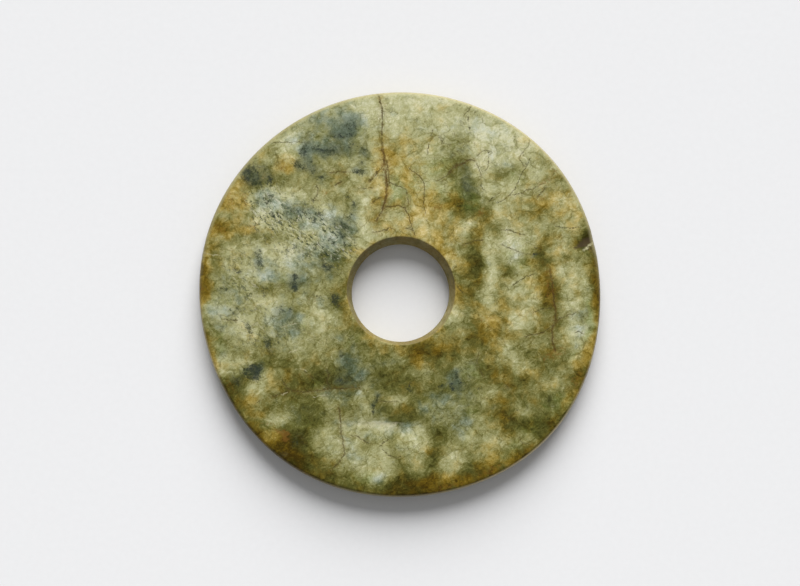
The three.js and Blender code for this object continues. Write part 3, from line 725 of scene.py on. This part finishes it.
def colour_fields(true_form, places):
    """Every field that the jade reads, by name, with one value for each vertex."""
    radius = np.hypot(true_form[:, 0], true_form[:, 1])
    flat = places[:, :2]
    plan = flat + (HOLE_THICKNESS - places[:, 2])[:, None] * np.array(PATTERN_LEAN)
    cloud_plan = (plan + drift(places, 15, 3.4, 10) + drift(places, 5, 1.3, 20)).T
    blot_plan = (plan + drift(places, 4, 0.7, 30)).T
    rust_plan = (plan + drift(places, 4, 1.2, 50)).T
    rim_tone, rim_warmth = rim_fields(*cloud_plan)
    north = smooth_rise(places[:, 1] / RIM_RADIUS, -0.1, 0.5)
    below_face = smooth_rise(RIM_THICKNESS - true_form[:, 2], 2.2, 4)
    fields = {
        "tone": patch_field(*cloud_plan, TONE_PATCHES + ovals(SMALL_TONE_PATCHES)) + rim_tone,
        "warmth": patch_field(*cloud_plan, WARMTH_PATCHES + ovals(SMALL_WARMTH_PATCHES)) + rim_warmth,
        "moss": patch_field(*cloud_plan, MOSS_PATCHES),
        "ink": patch_field(*blot_plan, spread(INK_BLOTS, BLOT_SPREAD, 1)),
        "haze": patch_field(*cloud_plan, spread(INK_BLOTS, HAZE_SPREAD, HAZE_SHARE) + HAZES),
        "flecked": np.clip(patch_field(*cloud_plan, FLECKED), 0, 1),
        "rust": patch_field(*rust_plan, RUST_SPOTS),
        "bore": 1 - smooth_rise(radius, MOUTH_RADIUS - 0.1, MOUTH_RADIUS + MOUTH_ROUND),
        # painted shade along the upper edge of the rim to the north, toning down the key light's highlight
        # there
        "edge_painted_shade": north * smooth_rise(radius, RIM_RADIUS - 2.4, RIM_RADIUS - 1.2),
        # painted highlight, a pale line along the upper edge of the rim
        "edge_painted_highlight": painted_edge_highlight_field(*flat.T, radius),
        "skin": below_face * smooth_rise(radius, RIM_RADIUS - 3, RIM_RADIUS - 2),
        "gouge": gouge_field(*(flat + drift(places, 1.5, 0.5, 60)).T),
        # painted highlight below the second saw cut, and a painted shadow line above it
        "ledge_painted_light": ledge_painted_light_field(*(flat + drift(places, 3, 0.35, 40)).T),
    }
    stainless = [(width, 0, points) for width, points in PALE_VEINS]
    for kind, routes in (("crack", CRACKS), ("vein", stainless)):
        for part, values in zip(("side", "near", "width", "stain"), route_fields(*plan.T, routes)):
            fields[kind + "_" + part] = values
    return fields


def jade_disc():
    disc = spun_disc()
    true_form = places_of(disc)
    places = fit_to_frame(work_by_hand(true_form))
    set_places(disc, places)
    for name, values in colour_fields(true_form, places).items():
        attribute = disc.data.attributes.new(name, "FLOAT", "POINT")
        attribute.data.foreach_set("value", values.astype(np.float32))
    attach(disc, "root")
    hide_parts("disc")
    return disc


# ---------------------------------------------------------------- finishes


def display(red, green, blue):
    """A colour given by its 8-bit display values."""
    shares = [value / 255 for value in (red, green, blue)]
    return *[share / 12.92 if share < 0.0404 else ((share + 0.055) / 1.055) ** 2.4 for share in shares], 1


# The stone's own colours at these tones, when it is blue-grey, sage, mossy and ochre.
RAMP_TONES = (0.16, 0.36, 0.51, 0.66, 0.8)
COOL = [(36, 43, 20), (80, 91, 64), (120, 132, 110), (163, 172, 152), (198, 204, 190)]
SAGE = [(48, 47, 4), (96, 95, 44), (136, 134, 84), (174, 173, 128), (206, 204, 168)]
MOSS = [(42, 48, 6), (87, 95, 42), (128, 136, 84), (167, 174, 128), (200, 206, 166)]
OCHRE = [(58, 43, 0), (112, 92, 20), (154, 133, 60), (189, 169, 102), (214, 201, 150)]

BASE_TONE = 0.342
BASE_WARMTH = 0.12
STEPS = (-0.21, -0.14, -0.07, 0.0, 0.07, 0.14)  # tones at which one cloud of the stone gives way to the next
STEP_HALF_WIDTH = 0.03
STEP_RISE = 0.058
ISLAND_SIZE = 9
STREAK_TURN = -42

SEAM_OLIVE = display(70, 64, 14)
VEIN_OLIVE = display(76, 66, 18)
VEIN_PALE = display(196, 192, 152)
VEIN_CREAM = display(202, 196, 158)
FLECK_GREEN = display(50, 60, 40)
THREAD_WHITE = display(208, 205, 180)
HAZE_GREY = display(86, 97, 84)
INK_SLATE = display(38, 46, 42)
INK_GREEN = display(42, 50, 28)
RUST_BROWN = display(120, 84, 34)
STAIN_BROWN = display(106, 78, 22)
CRACK_OLIVE = display(70, 66, 30)
CRACK_BROWN = display(78, 56, 20)
BORE_BROWN = display(122, 108, 70)
LEDGE_PAINTED_HIGHLIGHT = display(204, 199, 162)
LEDGE_PAINTED_SHADOW = display(92, 92, 40)

# The gouge, then the rim: a painted shade along its upper edge to the north, where the key light falls on it,
# a painted highlight in places along that edge, and brown down its wall.
EDGE_COLOURS = [("gouge", 0.85, (70, 58, 40)), ("edge_painted_shade", 0.75, (140, 134, 96)),
                ("edge_painted_highlight", 0.85, (224, 208, 168)), ("skin", 0.75, (104, 92, 44))]


class Finish:
    """A material made of nodes. Each method adds nodes and returns the socket that carries their result."""

    def __init__(self, name):
        self.material = bpy.data.materials.new(name)
        self.material.use_nodes = True
        self.tree = self.material.node_tree
        self.shader = self.tree.nodes["Principled BSDF"]
        self.place = self.node("TexCoord", {}, "Object")

    def node(self, kind, inputs, output=0, **settings):
        made = self.tree.nodes.new("ShaderNode" + kind)
        for setting, value in settings.items():
            setattr(made, setting, value)
        for socket, value in inputs.items():
            self.feed(made.inputs[socket], value)
        return made.outputs[output]

    def feed(self, socket, value):
        if isinstance(value, bpy.types.NodeSocket):
            self.tree.links.new(value, socket)
        else:
            socket.default_value = value

    def math(self, operation, first, second=0.0):
        return self.node("Math", {0: first, 1: second}, operation=operation)

    def sum(self, *terms):
        total = terms[0]
        for term in terms[1:]:
            total = self.math("ADD", total, term)
        return total

    def times(self, *factors):
        product = factors[0]
        for factor in factors[1:]:
            product = self.math("MULTIPLY", product, factor)
        return product

    def field(self, name):
        return self.node("Attribute", {}, "Fac", attribute_name=name)

    def grain(self, size, detail, roughness, place=None, output="Fac"):
        """Fractal noise with features of a size in millimetres."""
        inputs = {"Vector": place or self.place, "Scale": 1 / (size * MM)}
        return self.node("TexNoise", {**inputs, "Detail": detail, "Roughness": roughness}, output)

    def swing(self, noise_value, reach):
        """Noise from 0 to 1 turned into -reach to reach."""
        return self.node("MapRange", {0: noise_value, 3: -reach, 4: reach}, clamp=False)

    def rise(self, value, low, high):
        return self.node("MapRange", {0: value, 1: low, 2: high}, interpolation_type="SMOOTHSTEP")

    def crossing(self, value, level, width):
        """A net of thin lines: 1 where a noise passes a level, 0 where it is a width away from it."""
        return self.rise(self.math("ABSOLUTE", self.math("SUBTRACT", value, level)), width, 0.0)

    def moved(self, place, by, reach):
        """A place moved by a noise colour, up to reach in millimetres."""
        offset = self.node("VectorMath", {0: by, 1: (0.5, 0.5, 0.5)}, operation="SUBTRACT")
        scaled = self.node("VectorMath", {0: offset, 3: 2 * reach * MM}, operation="SCALE")
        return self.node("VectorMath", {0: place, 1: scaled}, operation="ADD")

    def stretched(self, place, turn, along):
        """Places turned about Z and squeezed, so that a pattern on them runs along a direction."""
        turned = self.node("VectorRotate", {"Vector": place, "Angle": radians(-turn)}, rotation_type="Z_AXIS")
        return self.node("VectorMath", {0: turned, 1: (1 / along, 1, 1)}, operation="MULTIPLY")

    def ramp(self, value, colours, tones=RAMP_TONES):
        made = self.tree.nodes.new("ShaderNodeValToRGB")
        elements = made.color_ramp.elements
        while len(elements) < len(colours):
            elements.new(0.5)
        for element, tone, colour in zip(elements, tones, colours):
            element.position, element.color = tone, display(*colour)
        self.feed(made.inputs[0], value)
        return made.outputs[0]

    def mix(self, share, first, second):
        return self.node("Mix", {0: share, 6: first, 7: second}, 2, data_type="RGBA", blend_type="MIX")

    def lay(self, below, colour, strength, *shares):
        """A colour over what lies below it, as strong as the product of its shares and its strength."""
        return self.mix(self.times(*shares, strength), below, colour)


def cloud_tone(stone, swirl, clouds, grit, flecked):
    """How light the stone is: its listed tone, torn into clouds within clouds, streaked and fibred."""
    own_tone = stone.field("tone")
    second_clouds = stone.grain(5.5, 8, 0.72, swirl)
    streaks = stone.grain(1.1, 4, 0.65, stone.stretched(swirl, STREAK_TURN, 3.5))
    fibres = stone.grain(1.0, 4, 0.75, stone.stretched(swirl, 28, 3))
    streaked = stone.times(stone.swing(streaks, 0.34), flecked, flecked)
    fibred = stone.times(stone.swing(fibres, 0.17), stone.math("SUBTRACT", 1.0, flecked))
    tone = stone.sum(BASE_TONE, stone.times(own_tone, 0.3))
    tone = stone.sum(tone, stone.swing(clouds, 0.16), stone.swing(grit, 0.14), streaked, fibred)
    torn = [stone.sum(own_tone, stone.swing(layer, 0.34)) for layer in (clouds, second_clouds)]
    for index, step in enumerate(STEPS):
        in_cloud = stone.rise(torn[index % 2], step - STEP_HALF_WIDTH, step + STEP_HALF_WIDTH)
        tone = stone.sum(tone, stone.times(in_cloud, STEP_RISE))
    return tone


def stone_colour(stone, tone, grit):
    """The tone turned into the stone's colours by its warmth and moss."""
    carried = stone.moved(stone.place, stone.grain(9, 2, 0.5, output="Color"), 1.6)
    warm_clouds = stone.swing(stone.grain(6, 3, 0.5, carried), 1.0)
    warmth = stone.sum(BASE_WARMTH, stone.field("warmth"), warm_clouds, stone.swing(grit, 0.1))
    mossy = stone.rise(stone.sum(stone.field("moss"), stone.swing(stone.grain(6, 2, 0.5), 1.0)), 0.25, 1.15)
    colour = stone.mix(mossy, stone.ramp(tone, SAGE), stone.ramp(tone, MOSS))
    colour = stone.mix(stone.rise(warmth, 0.0, 1.0), colour, stone.ramp(tone, OCHRE))
    return stone.mix(stone.rise(warmth, 0.0, -1.0), colour, stone.ramp(tone, COOL))


def fine_veins(stone, colour, swirl, seam, tone):
    """Hair-fine dark veins along the seams and across them, and paler ones in the light stone."""
    broken = stone.rise(stone.grain(5, 5, 0.7), 0.45, 0.60)
    colour = stone.lay(colour, SEAM_OLIVE, 0.45, stone.rise(seam, 0.035, 0.0), broken)
    net = stone.crossing(stone.grain(4.5, 4, 0.6, swirl), 0.5, 0.014)
    colour = stone.lay(colour, VEIN_OLIVE, 0.62, net, stone.rise(stone.grain(8, 4, 0.6), 0.44, 0.58))
    net = stone.crossing(stone.grain(6, 5, 0.6, swirl), 0.46, 0.014)
    in_light = stone.rise(tone, 0.40, 0.55)
    return stone.lay(colour, VEIN_PALE, 0.4, net, stone.rise(stone.grain(7, 4, 0.6), 0.45, 0.6), in_light)


def flecks_and_threads(stone, colour, swirl, flecked):
    """Dark flecks, each a little longer down the streaks, and near-white threads between them."""
    fleck_place = stone.moved(stone.place, stone.grain(3, 3, 0.6, output="Color"), 0.8)
    flecks = stone.grain(1.4, 4, 0.75, stone.stretched(fleck_place, STREAK_TURN, 1.7))
    crowded = stone.rise(stone.grain(6, 4, 0.65, swirl), 0.44, 0.54)
    colour = stone.lay(colour, FLECK_GREEN, 0.95, stone.rise(flecks, 0.515, 0.575), crowded, flecked)
    threads = stone.rise(stone.grain(1.2, 5, 0.75, stone.stretched(swirl, -45, 4)), 0.54, 0.66)
    return stone.lay(colour, THREAD_WHITE, 0.7, threads, flecked, flecked)


def haze_and_ink(stone, colour, clouds, speckle):
    """A blue-grey breath, then crowded specks of ink-dark mineral, dark green or slate."""
    breath = stone.rise(stone.sum(stone.field("haze"), stone.swing(clouds, 0.6)), 0.12, 0.95)
    colour = stone.lay(colour, HAZE_GREY, 0.6, breath)
    ink = stone.field("ink")
    specks = stone.rise(stone.sum(ink, stone.swing(speckle, 1.9)), 0.42, 0.95)
    opacity = stone.node("MapRange", {0: stone.grain(0.9, 3, 0.7), 1: 0.35, 2: 0.6, 3: 0.98, 4: 0.66})
    ink_colour = stone.mix(stone.rise(stone.grain(5, 3, 0.6), 0.4, 0.6), INK_SLATE, INK_GREEN)
    return stone.mix(stone.times(specks, stone.rise(ink, 0.02, 0.15), opacity), colour, ink_colour)


def rust_spots(stone, colour, speckle):
    """Rust-brown spots, torn into small grains."""
    rust = stone.field("rust")
    grains = stone.rise(stone.sum(rust, stone.swing(speckle, 2.2)), 0.3, 1.1)
    return stone.lay(colour, RUST_BROWN, 0.6, grains, stone.rise(rust, 0.02, 0.2))


def line_along(stone, kind, waver, edge, core):
    """1 along the middle of the cracks or of the pale veins, 0 outside their widths."""
    off_line = stone.math("ABSOLUTE", stone.sum(stone.field(kind + "_side"), waver))
    in_widths = stone.math("DIVIDE", off_line, stone.math("MAXIMUM", stone.field(kind + "_width"), 0.2))
    return stone.times(stone.rise(in_widths, edge, core), stone.field(kind + "_near"))


def cracks_and_pale_veins(stone, colour):
    """A brown breath beside the cracks, a dark line that wavers, and the pale veins; also the line itself."""
    waver = stone.sum(stone.swing(stone.grain(2.4, 6, 0.75), 1.6), stone.swing(stone.grain(0.9, 3, 0.7), 0.5))
    breaks = stone.rise(stone.grain(2.2, 5, 0.8), 0.32, 0.56)
    stain = stone.field("crack_stain")
    colour = stone.lay(colour, STAIN_BROWN, 0.7, stain, stone.rise(stone.grain(1.5, 4, 0.8), 0.35, 0.65))
    line = stone.times(line_along(stone, "crack", waver, 0.9, 0.15), breaks)
    colour = stone.lay(colour, stone.mix(stain, CRACK_OLIVE, CRACK_BROWN), 0.86, line)
    return stone.lay(colour, VEIN_CREAM, 0.5, line_along(stone, "vein", waver, 0.8, 0.1), breaks), line


def worked_places(stone, colour, bore):
    """The drilled wall, the painted highlight below the second saw cut with the painted shadow line over it,
    the gouge and the rim.
    """
    colour = stone.lay(colour, BORE_BROWN, 0.6, bore)
    ledge_painted_light = stone.field("ledge_painted_light")
    torn = stone.rise(stone.grain(2.5, 5, 0.7), 0.3, 0.62)
    # painted highlight in the strip below the second saw cut
    colour = stone.lay(colour, LEDGE_PAINTED_HIGHLIGHT, 0.7, stone.rise(ledge_painted_light, 0.0, 1.0), torn)
    # painted shadow line along the step above it
    colour = stone.lay(colour, LEDGE_PAINTED_SHADOW, 0.55, stone.rise(ledge_painted_light, 0.0, -1.0))
    for name, strength, shade in EDGE_COLOURS:
        colour = stone.lay(colour, display(*shade), strength, stone.field(name))
    return colour


def jade():
    """Nephrite: clouded sage and olive, with ochre stains, ink-dark mineral, fine cracks and a waxy polish."""
    stone = Finish("jade")
    swirl = stone.moved(stone.place, stone.grain(7, 2, 0.55, output="Color"), 3.2)
    clouds = stone.grain(3.4, 8, 0.75, swirl)
    grit = stone.grain(0.8, 3, 0.8)
    speckle = stone.grain(1.5, 5, 0.85)
    flecked = stone.field("flecked")
    bore = stone.field("bore")

    # islands of stone with darker seams between them
    islands = {"Vector": swirl, "Scale": 1 / (ISLAND_SIZE * MM)}
    own_shade = stone.node("SeparateColor", {0: stone.node("TexVoronoi", islands, "Color")})
    seam = stone.node("TexVoronoi", islands, feature="DISTANCE_TO_EDGE")
    tone = cloud_tone(stone, swirl, clouds, grit, flecked)
    tone = stone.sum(tone, stone.swing(own_shade, 0.05), stone.times(stone.rise(seam, 0.14, 0.0), -0.04))

    colour = stone_colour(stone, tone, grit)
    colour = fine_veins(stone, colour, swirl, seam, tone)
    colour = flecks_and_threads(stone, colour, swirl, flecked)
    colour = haze_and_ink(stone, colour, clouds, speckle)
    colour = rust_spots(stone, colour, speckle)
    colour, line = cracks_and_pale_veins(stone, colour)
    colour = worked_places(stone, colour, bore)
    stone.feed(stone.shader.inputs["Base Color"], colour)

    roughness = stone.sum(0.42, stone.swing(grit, 0.15), stone.times(line, 0.25), stone.times(bore, 0.15))
    stone.feed(stone.shader.inputs["Roughness"], roughness)
    stone.shader.inputs["IOR"].default_value = 1.61
    stone.shader.inputs["Specular IOR Level"].default_value = 0.09
    stone.shader.inputs["Subsurface Weight"].default_value = 0.08
    stone.shader.inputs["Subsurface Radius"].default_value = (0.002, 0.002, 0.001)
    stone.shader.inputs["Subsurface Scale"].default_value = 1.0
    height = stone.sum(stone.swing(clouds, 0.05), stone.swing(grit, 0.03), stone.times(line, -0.12))
    bump = stone.node("Bump", {"Strength": 0.6, "Distance": MM, "Height": height}, "Normal")
    stone.feed(stone.shader.inputs["Normal"], bump)
    return stone.material


def paper():
    """Plain pale background card with a faint tooth."""
    card = Finish("card")
    tooth = card.ramp(card.grain(3, 4, 0.6), [(229, 229, 230), (231, 231, 232)], (0.3, 0.7))
    card.feed(card.shader.inputs["Base Color"], tooth)
    card.shader.inputs["Roughness"].default_value = 0.85
    card.shader.inputs["Specular IOR Level"].default_value = 0.1
    return card.material


# ---------------------------------------------------------------- studio

CAMERA_LENS = 100.0
SENSOR = 36.0
VIEW_WIDTH = 392.9  # millimetres of the upper face that the view spans
DISC_OFF_CENTRE = (-0.1, -0.8)  # where the disc's middle lies in the view
FLOOR_SIZE = 8
SKY_STRENGTH = 0.28
KEY_BEARING, KEY_ELEVATION, KEY_SPREAD = 84, 30, 46  # degrees; the bearing is where it stands, from +X
KEY_STRENGTH = 5.1


def camera():
    lens = bpy.data.cameras.new("camera")
    lens.lens = CAMERA_LENS
    lens.sensor_width = SENSOR
    lens.clip_end = 20
    eye = bpy.data.objects.new("camera", lens)
    bpy.context.scene.collection.objects.link(eye)
    middle = (CAD_LOW + CAD_HIGH) / 2
    height = CAD_HIGH.z + VIEW_WIDTH * MM * CAMERA_LENS / SENSOR
    eye.location = (middle.x - DISC_OFF_CENTRE[0] * MM, middle.y - DISC_OFF_CENTRE[1] * MM, height)
    bpy.context.scene.camera = eye


def key_light():
    """A far soft light, low over the top of the view."""
    lamp = bpy.data.lights.new("key", "SUN")
    lamp.energy = KEY_STRENGTH
    lamp.angle = radians(KEY_SPREAD)
    stand = bpy.data.objects.new("key", lamp)
    stand.rotation_euler = Euler((0, radians(90 - KEY_ELEVATION), radians(KEY_BEARING)))
    bpy.context.scene.collection.objects.link(stand)


def floor():
    bpy.ops.object.select_all(action="DESELECT")
    bpy.ops.mesh.primitive_plane_add(size=FLOOR_SIZE, location=(0, 0, CAD_LOW.z))
    sheet = bpy.context.object
    sheet.name = "floor"
    sheet.data.materials.append(paper())


def sky():
    """Even light from all round."""
    world = bpy.data.worlds.new("studio")
    world.use_nodes = True
    world.node_tree.nodes["Background"].inputs["Color"].default_value = (0.98, 0.99, 1.0, 1)
    world.node_tree.nodes["Background"].inputs["Strength"].default_value = SKY_STRENGTH
    bpy.context.scene.world = world


camera()
disc = jade_disc()
disc.data.materials.append(jade())
floor()
sky()
key_light()
bpy.context.scene.view_settings.view_transform = "Standard"
